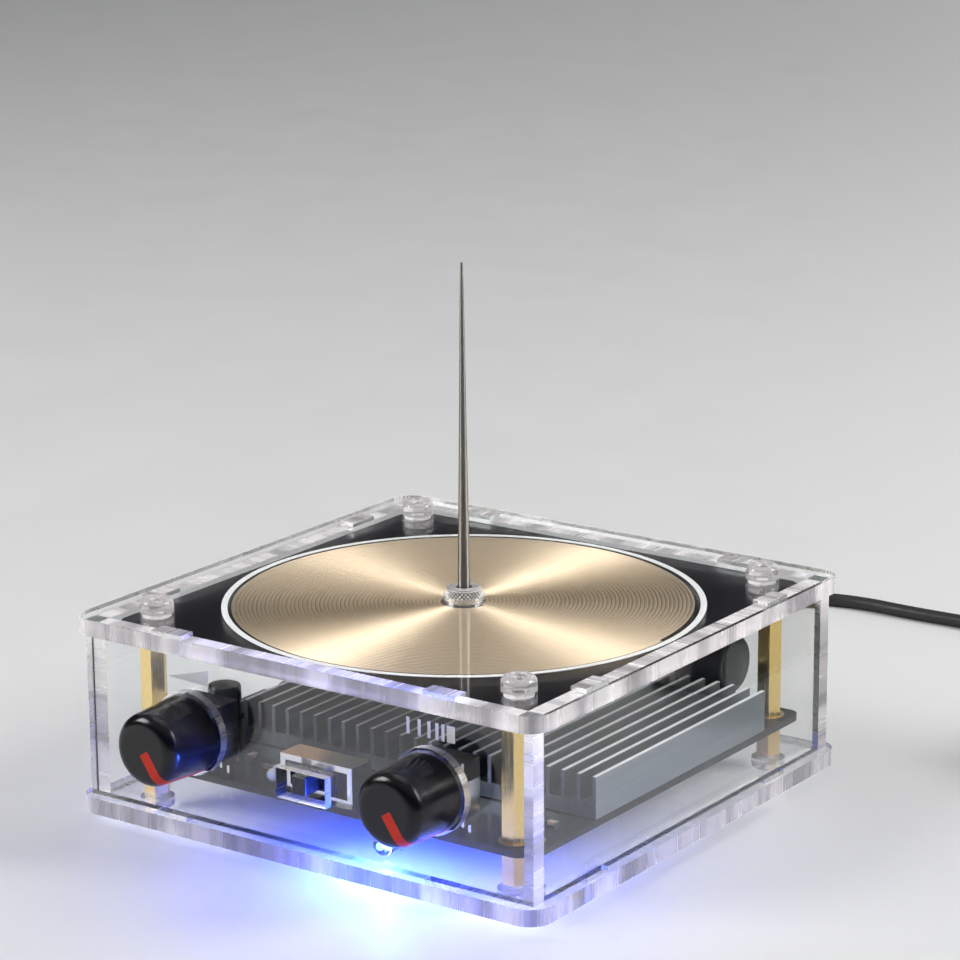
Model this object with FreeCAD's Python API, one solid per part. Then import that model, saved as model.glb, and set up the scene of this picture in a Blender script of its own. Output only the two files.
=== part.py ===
"""Desktop resonant transformer with a flat spiral winding in a clear laser-cut case.

Millimetres, +Z up, front (knobs) towards -Y.  Everything is laid out about the
discharge needle's axis, and save() moves it so that the origin is the bottom
centre of the whole object's box, on the surface it stands on.
"""

import FreeCAD, Part
import math
import os

from FreeCAD import Vector

os.makedirs("parts", exist_ok=True)

# ---- case ------------------------------------------------------------------
plate_side = 130.0
corner_r = 5.5
sheet = 3.9
panel_out = 62.4  # outer face of the four upright panels, from the axis
panel_in = panel_out - sheet
tab_at = 38.0
tab_long = 8.5
tab_gap = 0.1
screw_at = 50.8
screw_r = 1.5
screw_hole_r = 1.6
thread_bore_r = 1.55
head_r = 4.0
head_high = 3.4
head_dome = 1.5
washer_r = 3.4
foot_high = 2.5  # the bottom heads are the feet
foot_round = 0.8
lower_standoff = 8.0
upper_standoff = 27.45
standoff_flats = 5.5
board = 1.6
air_gap = 0.75  # between the coil board and the top plate

# ---- levels, from the surface it stands on ---------------------------------
base_low = foot_high
base_top = base_low + sheet
main_low = base_top + lower_standoff
main_top = main_low + board
coil_low = main_top + upper_standoff
coil_top = coil_low + board
lid_low = coil_top + air_gap
lid_top = lid_low + sheet

# ---- boards and windings ---------------------------------------------------
main_half = 56.5
coil_half = 57.5
board_corner_r = 3.0
copper = 0.1
secondary_r = 54.4
secondary_pitch = 0.98
secondary_track = 0.8
secondary_turns = 50
ring_in_r = 55.35
ring_out_r = 56.8
primary_in_r = 36.0
primary_pitch = 3.6
primary_track = 2.6
primary_turns = 5
primary_thick = 0.3

# ---- discharge needle, its socket and its collar ---------------------------
needle_tip = 129.0
needle_r = 1.5
needle_low = 43.0
flange_r = 4.45
flange_high = 0.8
socket_r = 2.5
socket_bore_r = 1.55
socket_low = 41.0
socket_top = 50.6
collar_r = 4.2
collar_bore_r = 2.55
collar_low = coil_top + flange_high + 0.1
collar_top = 51.6
collar_eye_r = 1.85
lid_hole_r = 4.8
nut_flats = 8.0
nut_high = 2.0

# ---- rotary controls -------------------------------------------------------
left_axis = -32.8
right_axis = 34.7
control_z = 26.7
knob_rear = -62.0
knob_front = -77.8
knob_rear_r = 9.3
knob_front_r = 8.45
knob_round = 2.8
knob_hole_r = 9.9
inlay = 0.6
pointer_wide = 2.6
pointer_turn = -34.0  # from straight down towards +X, about +Y
shaft_r = 3.0
shaft_bore_r = 3.05
bushing_r = 3.5
pot_half = 6.3
pot_high = 12.8
pot_front = -56.0
pot_back = -50.0
strap = 0.7

# ---- slide switch and lamps ------------------------------------------------
switch_at = -0.3
switch_half = 10.1
switch_front = -55.0
switch_back = -48.0
switch_top = 25.1
switch_wall = 0.8
lever_wide = 3.9
lever_rest = -1.5  # lever centre from the switch centre, at rest
lever_low = 18.1
lever_top = 22.4
lever_front = -61.3
slot_half = 6.9
slot_low = 16.8
slot_top = 23.8
blue_at = 18.5
blue_z = 9.3
lamp_at = -14.3
lamp_z = 18.3

# ---- heat sink -------------------------------------------------------------
fin_pitch = 4.1
fin_thick = 1.0
fin_base = 3.5
fins = 24
first_fin = -38.2
pad_thick = 0.3
sink_front = -33.0
sink_back = 39.0
sink_high = 9.8
sink_screws = [(x, y) for x in (-20.0, 38.0) for y in (-26.0, 32.0)]
sink_screw_head_r = 2.9
chip_half_wide = 5.0
chip_half_deep = 4.5
chip_high = 4.4

# ---- electronics -----------------------------------------------------------
can_end = 43.2
can_long = 22.0
can_r = 7.25
can_y = 48.0
can_z = 27.7
sleeve = 0.25
leg_pitch = 2.54
side_x = -48.0  # the strip of board to the left of the heat sink
power_jack_at = -34.0
power_jack_z = 22.5
audio_jack_at = -10.0
audio_jack_z = 19.5
audio_bore_r = 1.8
audio_bore_long = 14.0

# ---- lead ------------------------------------------------------------------
lead_r = 1.8
plug_r = 4.5
plug_back = 82.0
relief_back = 92.0
relief_root_r = 3.4
relief_tip_r = 2.4
bundle_x = 98.0  # the coiled part of the lead
bundle_y = 163.0
bundle_mean_r = 20.0
bundle_wide = 11.0
bundle_high = 10.9
route = [
    (power_jack_at, relief_back, power_jack_z),
    (-34.0, 104.0, 22.2),
    (-34.3, 119.0, 17.4),
    (-34.2, 134.0, 9.2),
    (-32.6, 149.0, 2.9),
    (-27.0, 164.0, lead_r),
    (-15.5, 177.5, lead_r),
    (2.0, 184.0, lead_r),
    (21.0, 183.2, lead_r),
    (42.0, 184.2, lead_r),
    (61.0, 183.0, lead_r),
    (81.0, 183.6, lead_r),
]
adapter_wide = 26.0
adapter_long = 46.0
adapter_high = 22.0
adapter_back = 139.0
adapter_relief = 12.5

# the origin sits midway between the rear edge of the plates and the knobs' faces
case_y = (-knob_front - plate_side / 2) / 2

X, Y, Z = Vector(1, 0, 0), Vector(0, 1, 0), Vector(0, 0, 1)
corners = [(sx * screw_at, sy * screw_at) for sx in (-1, 1) for sy in (-1, 1)]


# ---- helpers ---------------------------------------------------------------
def box(x0, x1, y0, y1, z0, z1):
    return Part.makeBox(x1 - x0, y1 - y0, z1 - z0, Vector(x0, y0, z0))


def rod(r, start, direction, length):
    return Part.makeCylinder(r, length, Vector(*start), direction)


def rounded_plate(half, low, thick, r):
    """A square plate with rounded upright corners."""
    plate = box(-half, half, -half, half, low, low + thick)
    upright = [e for e in plate.Edges if abs(e.Vertexes[0].Z - e.Vertexes[1].Z) > thick / 2]
    return plate.makeFillet(r, upright)


def hexagon(flats, x, y, low, high):
    """An upright hexagonal prism with two flats facing front and back."""
    r = flats / math.sqrt(3)
    turns = [math.radians(60 * i) for i in range(7)]
    points = [Vector(x + r * math.cos(a), y + r * math.sin(a), low) for a in turns]
    return Part.Face(Part.makePolygon(points)).extrude(Vector(0, 0, high))


def outer_edges(shape, axis, level):
    """The edges that lie wholly at one level along an axis."""
    found = []
    for edge in shape.Edges:
        b = edge.BoundBox
        low, high = (b.YMin, b.YMax) if axis == "y" else (b.ZMin, b.ZMax)
        if abs(low - level) < 1e-4 and abs(high - level) < 1e-4:
            found.append(edge)
    return found


def group(solids):
    return Part.makeCompound(solids)


def save(name, shape):
    solids = shape.Solids
    for solid in solids:
        if not solid.isValid() or not solid.isClosed() or solid.Volume <= 0:
            raise ValueError(name + " holds a bad solid")
    moved = solids[0] if len(solids) == 1 else Part.makeCompound(solids)
    moved.translate(Vector(0, case_y, 0))
    moved.exportStep("parts/" + name + ".step")
    print("%-22s %3d solid(s) %10.2f mm3" % (name, len(solids), moved.Volume))


def spiral(first_r, pitch, track, turns, low, thick):
    """A flat spiral track of half-turn arcs, each half turn half a pitch wider."""
    edges = {1: [], -1: []}
    for side in edges:
        for i in range(2 * turns):
            r = first_r + i * pitch / 2 + side * track / 2
            centre = 0.0 if i % 2 == 0 else pitch / 2
            way = 1 if i % 2 == 0 else -1
            a = Vector(centre + way * r, 0, low)
            b = Vector(centre, way * r, low)
            c = Vector(centre - way * r, 0, low)
            edges[side].append(Part.Arc(a, b, c).toShape())
    start = Part.LineSegment(edges[1][0].firstVertex().Point, edges[-1][0].firstVertex().Point)
    last = [edges[s][-1].lastVertex().Point for s in (1, -1)]
    end = Part.LineSegment(*last)
    outline = edges[1] + [end.toShape()] + edges[-1][::-1] + [start.toShape()]
    wire = Part.Wire(Part.__sortEdges__(outline))
    return Part.Face(wire).extrude(Vector(0, 0, thick))


def cross_recess(x, y, level, depth):
    """The cutter of a cross-shaped driver recess, from a level down by depth."""
    long, wide = 2.1, 0.45
    low, high = sorted((level, level - depth))
    a = box(x - long, x + long, y - wide, y + wide, low, high)
    b = box(x - wide, x + wide, y - long, y + long, low, high)
    return a.fuse(b)


# ---- case ------------------------------------------------------------------
def tab_slots(low):
    """Cutters of the eight panel slots in a plate, and of its four screw holes."""
    cuts = []
    long, out, deep = tab_long / 2 + tab_gap, panel_out + tab_gap, panel_in - tab_gap
    for at in (-tab_at, tab_at):
        for near, far in ((deep, out), (-out, -deep)):
            cuts.append(box(at - long, at + long, near, far, low - 1, low + sheet + 1))
            cuts.append(box(near, far, at - long, at + long, low - 1, low + sheet + 1))
    for x, y in corners:
        cuts.append(rod(screw_hole_r, (x, y, low - 1), Z, sheet + 2))
    return cuts


def make_plates():
    bottom = rounded_plate(plate_side / 2, base_low, sheet, corner_r)
    save("bottom_plate", bottom.cut(tab_slots(base_low)))
    top = rounded_plate(plate_side / 2, lid_low, sheet, corner_r)
    eye = rod(lid_hole_r, (0, 0, lid_low - 1), Z, sheet + 2)
    save("top_plate", top.cut(tab_slots(lid_low) + [eye]))


def long_panel(near, far):
    """A front or rear panel with its four tabs."""
    panel = box(-panel_out, panel_out, near, far, base_top, lid_low)
    for at in (-tab_at, tab_at):
        tab = box(at - tab_long / 2, at + tab_long / 2, near, far, base_low, lid_top)
        panel = panel.fuse(tab)
    return panel.removeSplitter()


def side_panel(near, far):
    """A left or right panel, which stands between the long ones."""
    panel = box(near, far, -panel_in, panel_in, base_top, lid_low)
    for at in (-tab_at, tab_at):
        tab = box(near, far, at - tab_long / 2, at + tab_long / 2, base_low, lid_top)
        panel = panel.fuse(tab)
    return panel.removeSplitter()


def make_panels():
    through = sheet + 2
    front = long_panel(-panel_out, -panel_in)
    cuts = [rod(knob_hole_r, (x, -panel_out - 1, control_z), Y, through) for x in (left_axis, right_axis)]
    slot = box(
        switch_at - slot_half,
        switch_at + slot_half,
        -panel_out - 1,
        -panel_in + 1,
        slot_low,
        slot_top,
    )
    save("front_panel", front.cut(cuts + [slot]))
    rear = long_panel(panel_in, panel_out)
    cuts = [
        rod(plug_r + 1.0, (power_jack_at, panel_in - 1, power_jack_z), Y, through),
        rod(3.2, (audio_jack_at, panel_in - 1, audio_jack_z), Y, through),
    ]
    save("rear_panel", rear.cut(cuts))
    save("left_panel", side_panel(-panel_out, -panel_in))
    save("right_panel", side_panel(panel_in, panel_out))


def top_screw(x, y):
    head = rod(head_r, (x, y, lid_top), Z, head_high)
    head = head.makeFillet(head_dome, outer_edges(head, "z", lid_top + head_high))
    shank = rod(screw_r, (x, y, coil_low - 6.5), Z, lid_top - coil_low + 7.0)
    return head.fuse(shank).cut(cross_recess(x, y, lid_top + head_high, 1.2))


def bottom_screw(x, y):
    head = rod(head_r, (x, y, 0), Z, foot_high)
    head = head.makeFillet(foot_round, outer_edges(head, "z", 0))
    shank = rod(screw_r, (x, y, foot_high - 0.5), Z, sheet + 4.2)
    return head.fuse(shank).cut(cross_recess(x, y, 0, -1.2))


def lower_post(x, y):
    post = hexagon(standoff_flats, x, y, base_top, lower_standoff)
    return post.cut(rod(thread_bore_r, (x, y, base_top - 1), Z, lower_standoff + 2))


def upper_post(x, y):
    post = hexagon(standoff_flats, x, y, main_top, upper_standoff)
    bore = rod(thread_bore_r, (x, y, coil_low - 8), Z, 9)
    stud = rod(screw_r, (x, y, main_low - 3.6), Z, board + 4.1)
    return post.cut(bore).fuse(stud)


def spacer_washer(x, y):
    return rod(washer_r, (x, y, coil_top), Z, air_gap).cut(rod(screw_hole_r, (x, y, coil_top - 1), Z, 3))


def make_fasteners():
    save("top_screws", group([top_screw(x, y) for x, y in corners]))
    save("spacer_washers", group([spacer_washer(x, y) for x, y in corners]))
    save("bottom_screws", group([bottom_screw(x, y) for x, y in corners]))
    save("lower_standoffs", group([lower_post(x, y) for x, y in corners]))
    save("upper_standoffs", group([upper_post(x, y) for x, y in corners]))


# ---- coil board and needle -------------------------------------------------
def make_coil_board():
    holes = [rod(screw_hole_r, (x, y, coil_low - 1), Z, board + 2) for x, y in corners]
    holes.append(rod(socket_r + 0.05, (0, 0, coil_low - 1), Z, board + 2))
    plate = rounded_plate(coil_half, coil_low, board, board_corner_r)
    save("coil_board", plate.cut(holes))
    first = secondary_r - secondary_turns * secondary_pitch
    save(
        "secondary_spiral",
        spiral(first, secondary_pitch, secondary_track, secondary_turns, coil_top, copper),
    )
    ring = rod(ring_out_r, (0, 0, coil_top), Z, copper)
    save("marking_ring", ring.cut(rod(ring_in_r, (0, 0, coil_top - 1), Z, copper + 2)))
    low = coil_low - primary_thick
    save(
        "primary_winding",
        spiral(primary_in_r, primary_pitch, primary_track, primary_turns, low, primary_thick),
    )


def make_needle():
    flange = rod(flange_r, (0, 0, coil_top), Z, flange_high)
    tube = rod(socket_r, (0, 0, socket_low), Z, socket_top - socket_low)
    bore = rod(socket_bore_r, (0, 0, needle_low), Z, socket_top)
    save("needle_socket", flange.fuse(tube).cut(bore).removeSplitter())

    nut = hexagon(nut_flats, 0, 0, coil_low - nut_high, nut_high)
    save("socket_nut", nut.cut(rod(socket_r + 0.05, (0, 0, coil_low - 5), Z, 10)))

    collar = rod(collar_r, (0, 0, collar_low), Z, collar_top - collar_low)
    collar = collar.makeChamfer(0.4, outer_edges(collar, "z", collar_top))
    room = rod(collar_bore_r, (0, 0, collar_low - 1), Z, socket_top - collar_low + 1.2)
    eye = rod(collar_eye_r, (0, 0, collar_low), Z, 10)
    save("knurled_collar", collar.cut([room, eye]))

    profile = [
        (0, needle_low),
        (needle_r, needle_low),
        (needle_r, 52.0),
        (0.95, 86.5),
        (0.5, 119.5),
        (0.32, needle_tip - 0.5),
        (0, needle_tip),
        (0, needle_low),
    ]
    outline = Part.makePolygon([Vector(r, 0, z) for r, z in profile])
    save("discharge_needle", Part.Face(outline).revolve(Vector(0, 0, 0), Z, 360))


# ---- rotary controls -------------------------------------------------------
def knob_blank(shrink):
    """The knob's outer form, drawn in all round by shrink."""
    front = knob_front + shrink
    start = Vector(0, knob_rear + shrink / 10, 0)
    long = start.y - front
    blank = Part.makeCone(knob_rear_r - shrink, knob_front_r - shrink, long, start, Vector(0, -1, 0))
    return blank.makeFillet(knob_round - shrink / 2, outer_edges(blank, "y", front))


def make_control(side, x):
    shift = Vector(x, 0, control_z)
    knob = knob_blank(0.0)
    skin = knob.cut(knob_blank(inlay))
    line = box(
        -pointer_wide / 2,
        pointer_wide / 2,
        knob_front - 1,
        knob_rear - 1.5,
        -knob_rear_r - 1,
        -0.3,
    )
    line.rotate(Vector(0, 0, 0), Y, pointer_turn)
    pointer = skin.common(line)
    socket = rod(shaft_bore_r, (0, knob_rear + 1, 0), Vector(0, -1, 0), 13)
    knob = knob.cut([pointer, socket])
    shaft = rod(shaft_r, (0, -51.2, 0), Vector(0, -1, 0), 22.4)

    low, high = -pot_high / 2, pot_high / 2
    body = box(-pot_half, pot_half, pot_front, pot_back, low, high)
    body = body.cut(rod(shaft_bore_r, (0, pot_front - 1, 0), Y, 6))
    plate = box(-pot_half, pot_half, pot_front - 1, pot_front, low, high)
    nose = rod(bushing_r, (0, pot_front, 0), Vector(0, -1, 0), 4.8)
    plate = plate.fuse(nose)
    for way in (-1, 1):
        inner, outer = sorted((way * pot_half, way * (pot_half + strap)))
        plate = plate.fuse(box(inner, outer, pot_front - 1, -51.0, low - 1.5, low + 8.5))
        leg_low = main_low - 0.4 - control_z
        plate = plate.fuse(box(inner, outer, -54.5, -52.5, leg_low, low))
    plate = plate.cut(rod(shaft_bore_r, (0, -70, 0), Y, 20)).removeSplitter()

    names = {"knob": knob, "pointer": pointer, "shaft": shaft}
    names.update({"potentiometer": body, "pot_bracket": plate})
    for part, shape in names.items():
        shape.translate(shift)
        save(side + "_" + part, shape)


def terminal(x, y, wide, deep, low, high):
    return box(x - wide / 2, x + wide / 2, y - deep / 2, y + deep / 2, low, high)


def pot_terminals():
    top = control_z - pot_high / 2
    places = [(axis + step, -51.5) for axis in (left_axis, right_axis) for step in (-2.5, 0.0, 2.5)]
    return [terminal(x, y, 0.8, 0.4, main_low - 0.8, top) for x, y in places]


# ---- switch and lamps ------------------------------------------------------
def make_switch():
    left, right = switch_at - switch_half, switch_at + switch_half
    wall = switch_wall
    shell = box(left, right, switch_front, switch_back, main_top, switch_top)
    low, high = main_top + wall, switch_top - wall
    hollow = box(left + wall, right - wall, switch_front + wall, switch_back + 1, low, high)
    lip = 0.6
    mouth = box(left + wall + lip, right - wall - lip, switch_front - 1, -52.0, low + lip, high - lip)
    save("switch_shell", shell.cut([hollow, mouth]))
    base = box(left + wall, right - wall, -51.1, switch_back, low, high)
    save("switch_base", base)
    centre, half = switch_at + lever_rest, lever_wide / 2
    lever = box(centre - half, centre + half, lever_front, -52.0, lever_low, lever_top)
    lever = lever.makeFillet(0.4, outer_edges(lever, "y", lever_front))
    foot = box(centre - 4.6, centre + 4.6, -53.9, -51.4, low + 0.2, high - 0.2)
    save("switch_slider", lever.fuse(foot).removeSplitter())


def bulb(r, x, tip, back, z, rim):
    """A round-nosed lamp lying along Y, with a rim at its back end."""
    nose = Part.makeSphere(r, Vector(x, tip + r, z))
    body = rod(r, (x, tip + r, z), Y, back - tip - r)
    flange = rod(r + rim, (x, back - 1.0, z), Y, 1.0)
    return nose.fuse([body, flange]).removeSplitter()


def bent_lead(x, y0, y1, z0, z1):
    """A square lamp lead that runs back and then up or down."""
    low, high = sorted((z0, z1))
    along = box(x - 0.25, x + 0.25, y0, y1, z0 - 0.25, z0 + 0.25)
    upright = box(x - 0.25, x + 0.25, y1 - 0.5, y1, low - 0.25, high)
    return along.fuse(upright).removeSplitter()


def make_lamps():
    """The two lamps; gives back their leads."""
    save("blue_lamp", bulb(2.5, blue_at, -57.5, -49.0, blue_z, 0.4))
    save("status_lamp", bulb(1.5, lamp_at, -54.4, -50.0, lamp_z, 0.3))
    leads = [bent_lead(blue_at + s, -49.0, -46.0, blue_z, main_low) for s in (-1.27, 1.27)]
    leads += [bent_lead(lamp_at + s, -50.0, -48.0, lamp_z, main_top + 0.25) for s in (-0.8, 0.8)]
    return leads


# ---- heat sink -------------------------------------------------------------
def make_heat_sink():
    low = main_top + pad_thick
    last_fin = first_fin + (fins - 1) * fin_pitch
    left, right = first_fin - fin_thick / 2, last_fin + fin_thick / 2
    sink = box(left, right, sink_front, sink_back, low, low + fin_base)
    for i in range(fins):
        at = left + i * fin_pitch
        sink = sink.fuse(box(at, at + fin_thick, sink_front, sink_back, low, low + sink_high))
    holes = [rod(thread_bore_r, (x, y, low - 1), Z, 4.0) for x, y in sink_screws]
    save("heat_sink", sink.cut(holes).removeSplitter())

    pad = box(left + 1, right - 1, sink_front + 1, sink_back - 1, main_top, low)
    save("thermal_pad", pad.cut([rod(screw_hole_r, (x, y, main_top - 1), Z, 3) for x, y in sink_screws]))

    screws = []
    for x, y in sink_screws:
        head = rod(sink_screw_head_r, (x, y, main_low - 2.0), Z, 2.0)
        shank = rod(screw_r, (x, y, main_low - 1.0), Z, board + 3.8)
        screws.append(head.fuse(shank).cut(cross_recess(x, y, main_low - 2.0, -1.0)))
    save("heat_sink_screws", group(screws))

    chips = []
    for x in (-26.5, -13.5, 31.5, 44.5):
        for y in (-10.0, 8.0):
            near, far = y - chip_half_deep, y + chip_half_deep
            body = box(x - chip_half_wide, x + chip_half_wide, near, far, main_low - chip_high, main_low)
            chips.append(body.makeChamfer(0.5, outer_edges(body, "z", main_low - chip_high)))
    save("power_transistors", group(chips))


# ---- main board and its components -----------------------------------------
def make_main_board():
    plate = rounded_plate(main_half, main_low, board, board_corner_r)
    holes = corners + sink_screws
    cuts = [rod(screw_hole_r, (x, y, main_low - 1), Z, board + 2) for x, y in holes]
    for axis in (left_axis, right_axis):
        for way in (-1, 1):
            x = axis + way * (pot_half + strap / 2)
            cuts.append(terminal(x, -53.5, strap + 0.2, 2.2, main_low - 1, main_top + 1))
        for step in (-2.5, 0.0, 2.5):
            cuts.append(terminal(axis + step, -51.5, 1.0, 0.6, main_low - 1, main_top + 1))
    save("main_board", plate.cut(cuts))


def make_capacitors():
    start = (can_end - can_long, can_y, can_z)
    can = rod(can_r - sleeve, start, X, can_long)
    can = can.makeFillet(0.8, [e for e in can.Edges if abs(e.BoundBox.XMin - can_end) < 1e-4])
    save("capacitor_can", can)
    skin = rod(can_r, (start[0] - 0.4, can_y, can_z), X, can_long - 0.6)
    save("capacitor_sleeve", skin.cut(rod(can_r - sleeve, start, X, can_long)))
    block = box(can_end - 19.0, can_end - 3.0, can_y - 5.0, can_y + 5.0, main_top, can_z - can_r)
    save("film_capacitor", block)
    small = []
    for y in (-40.0, -29.0):
        body = rod(4.0, (side_x, y, main_top), Z, 11.0)
        small.append(body.makeFillet(0.6, outer_edges(body, "z", main_top + 11.0)))
    save("filter_capacitors", group(small))


def make_chips():
    """The two driver chips; gives back their legs."""
    chips, legs = [], []
    for y in (-15.0, 0.0):
        body = box(side_x - 3.2, side_x + 3.2, y - 4.8, y + 4.8, main_top + 0.8, main_top + 4.2)
        chips.append(body.makeChamfer(0.4, outer_edges(body, "z", main_top + 4.2)))
        for i in range(4):
            at = y + (i - 1.5) * leg_pitch
            for x in (side_x - 3.7, side_x + 3.7):
                legs.append(terminal(x, at, 1.0, 1.2, main_top, main_top + 2.2))
    save("driver_chips", group(chips))
    return legs


def make_resistors():
    bars = []
    for i in range(4):
        x = 5.2 + 3.4 * i
        body = rod(1.2, (x, 45.0, main_top + 1.3), Y, 6.4)
        wire = rod(0.3, (x, 42.2, main_top + 1.3), Y, 12.0)
        bars.append(body.fuse(wire))
    save("resistors", group(bars))


def make_drive_transformer():
    ring_r, wire_turns = 5.2, 10
    centre = Vector(side_x, 18.0, main_top + 2.6)
    save("transformer_core", Part.makeTorus(ring_r, 1.8, centre))
    loops = []
    for i in range(wire_turns):
        a = 2 * math.pi * i / wire_turns
        out = Vector(math.cos(a), math.sin(a), 0)
        loops.append(Part.makeTorus(2.2, 0.3, centre + out * ring_r, Vector(-out.y, out.x, 0)))
    save("transformer_winding", group(loops))


def make_modules():
    """The links to the coil board, the audio module and jack; gives back the module's posts."""
    links = [rod(0.8, (x, 52.0, main_top), Z, upper_standoff - primary_thick) for x in (1.4, 18.6)]
    save("coil_link_posts", group(links))
    left, right, near, far = -55.5, -41.5, 28.0, 45.0
    low = main_top + 4.0
    save("audio_module", box(left, right, near, far, low, low + 1.2))
    save("module_shield", box(left + 2, right - 2, near + 2.5, far - 3, low + 1.2, low + 3.2))
    posts = [(x, y) for x in (left + 1.5, right - 1.5) for y in (near + 1.5, far - 1.5)]

    at, low_y = audio_jack_at, 46.5
    body = box(at - 5, at + 5, low_y - 0.5, panel_in - 0.2, main_top, main_top + 7.0)
    nose = rod(3.0, (at, low_y + 3.5, audio_jack_z), Y, audio_bore_long - 3.5)
    bore = rod(audio_bore_r, (at, low_y, audio_jack_z), Y, audio_bore_long + 1)
    save("audio_jack", body.fuse(nose).cut(bore).removeSplitter())
    return [terminal(x, y, 0.8, 0.8, main_top, low) for x, y in posts]


# ---- power jack, plug, lead and adapter ------------------------------------
def strain_relief(length, x, y, z):
    return Part.makeCone(relief_root_r, relief_tip_r, length, Vector(x, y, z), Y)


def make_power_jack():
    x, z = power_jack_at, power_jack_z
    body = box(x - 4.6, x + 4.6, 44.4, panel_in - 0.2, main_top, z + 4.8)
    bore = rod(2.9, (x, 48.0, z), Y, 20)
    post = rod(1.0, (x, 47.5, z), Y, 9.0)
    save("power_jack", body.cut(bore).fuse(post))

    barrel = rod(2.8, (x, 49.0, z), Y, 10.0)
    grip = rod(plug_r, (x, panel_in + 0.2, z), Y, plug_back - panel_in - 0.2)
    grip = grip.makeFillet(1.0, outer_edges(grip, "y", plug_back))
    relief = strain_relief(relief_back - plug_back + 1, x, plug_back - 1, z)
    hollow = rod(1.25, (x, 48.0, z), Y, 9.5)
    save("power_plug", barrel.fuse([grip, relief]).cut(hollow))


def tangent_path(points):
    """Straight runs joined by tangent arcs, as large as each pair of runs allows."""
    path, at, radii = [], points[0], []
    for before, corner, after in zip(points, points[1:], points[2:]):
        back, ahead = before - corner, after - corner
        reach = 0.45 * min(back.Length, ahead.Length)
        turn = math.pi - back.getAngle(ahead)
        radii.append(reach / math.tan(turn / 2))
        start = corner + back * (reach / back.Length)
        end = corner + ahead * (reach / ahead.Length)
        inward = back * (1 / back.Length) + ahead * (1 / ahead.Length)
        inward.normalize()
        middle_gap = radii[-1] * (1 / math.cos(turn / 2) - 1)
        path.append(Part.LineSegment(at, start).toShape())
        path.append(Part.Arc(start, corner + inward * middle_gap, end).toShape())
        at = end
    path.append(Part.LineSegment(at, points[-1]).toShape())
    print("lead arcs, mm:", " ".join("%.0f" % r for r in radii))
    return Part.Wire(path)


def make_lead():
    points = [Vector(*p) for p in route]
    path = tangent_path(points)
    ring = Part.Wire(Part.makeCircle(lead_r, points[0], points[1] - points[0]))
    tube = path.makePipe(Part.Face(ring))
    expected = math.pi * lead_r**2 * path.Length
    print("lead %.0f mm long, volume %.2f of %.2f" % (path.Length, tube.Volume, expected))
    save("power_lead", tube)

    bundle = rod(bundle_mean_r + bundle_wide / 2, (bundle_x, bundle_y, 0), Z, bundle_high)
    bundle = bundle.cut(rod(bundle_mean_r - bundle_wide / 2, (bundle_x, bundle_y, -1), Z, bundle_high + 2))
    save("lead_coil", bundle)


def make_adapter():
    """A wall adapter in line with the coil's outermost and topmost turn."""
    x = bundle_x + bundle_mean_r + bundle_wide / 2 - lead_r
    front = adapter_back - adapter_long
    body = box(x - adapter_wide / 2, x + adapter_wide / 2, front, adapter_back, 0, adapter_high)
    body = body.makeFillet(2.5, body.Edges)
    relief = strain_relief(adapter_relief, x, adapter_back - 1, bundle_high - lead_r)
    save("wall_adapter", body.fuse(relief))
    blades = []
    for step in (-6.35, 6.35):
        blade = box(x + step - 0.75, x + step + 0.75, front - 16, front, 7.8, 14.2)
        blades.append(blade)
    save("adapter_pins", group(blades))


make_plates()
make_panels()
make_fasteners()
make_coil_board()
make_needle()
make_control("left", left_axis)
make_control("right", right_axis)
make_switch()
make_heat_sink()
make_main_board()
make_capacitors()
make_resistors()
make_drive_transformer()
save("board_pins", group(pot_terminals() + make_lamps() + make_chips() + make_modules()))
make_power_jack()
make_lead()
make_adapter()
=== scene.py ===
"""Looks of the desktop resonant transformer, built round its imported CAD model.

Metres, +Z up, front (knobs) towards -Y.  Places inside the object are written in
millimetres from the discharge needle's axis, as the CAD model lays them out, and
spot() and MM turn them into the frame's metres.
"""

import math

import bpy
from mathutils import Matrix, Vector


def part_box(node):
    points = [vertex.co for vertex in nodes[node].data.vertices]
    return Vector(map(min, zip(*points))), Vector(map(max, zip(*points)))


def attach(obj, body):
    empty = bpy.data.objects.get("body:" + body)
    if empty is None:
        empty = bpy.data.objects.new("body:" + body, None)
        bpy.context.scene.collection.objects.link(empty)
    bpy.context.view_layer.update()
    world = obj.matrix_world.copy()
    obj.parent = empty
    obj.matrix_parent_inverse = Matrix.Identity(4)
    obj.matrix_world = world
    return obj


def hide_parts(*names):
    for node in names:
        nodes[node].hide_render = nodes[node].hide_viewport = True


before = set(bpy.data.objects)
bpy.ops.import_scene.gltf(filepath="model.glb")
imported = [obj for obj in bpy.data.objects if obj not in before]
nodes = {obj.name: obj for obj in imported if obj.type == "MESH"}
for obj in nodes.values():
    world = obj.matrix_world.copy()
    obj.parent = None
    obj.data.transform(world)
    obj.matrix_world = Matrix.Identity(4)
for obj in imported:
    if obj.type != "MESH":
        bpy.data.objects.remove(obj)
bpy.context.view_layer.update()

MM = 0.001
needle_low, needle_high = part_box("discharge_needle")
axis_y = (needle_low.y + needle_high.y) / 2  # the needle's axis in the frame
base_low, base_top = (corner.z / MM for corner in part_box("bottom_plate"))
lid_low, lid_top = (corner.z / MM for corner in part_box("top_plate"))
board_low, board_top = (corner.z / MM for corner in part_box("main_board"))
left_axis, right_axis = -32.8, 34.7  # the two rotary controls
lamp_x, lamp_z, lamp_tip = 18.5, 9.3, -57.5  # the blue lamp, which points to the front
status_x = -14.3  # the white status lamp


def spot(x, y, z=0.0):
    """A place in millimetres from the needle's axis, as a point of the frame."""
    return Vector((x * MM, axis_y + y * MM, z * MM))


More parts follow.
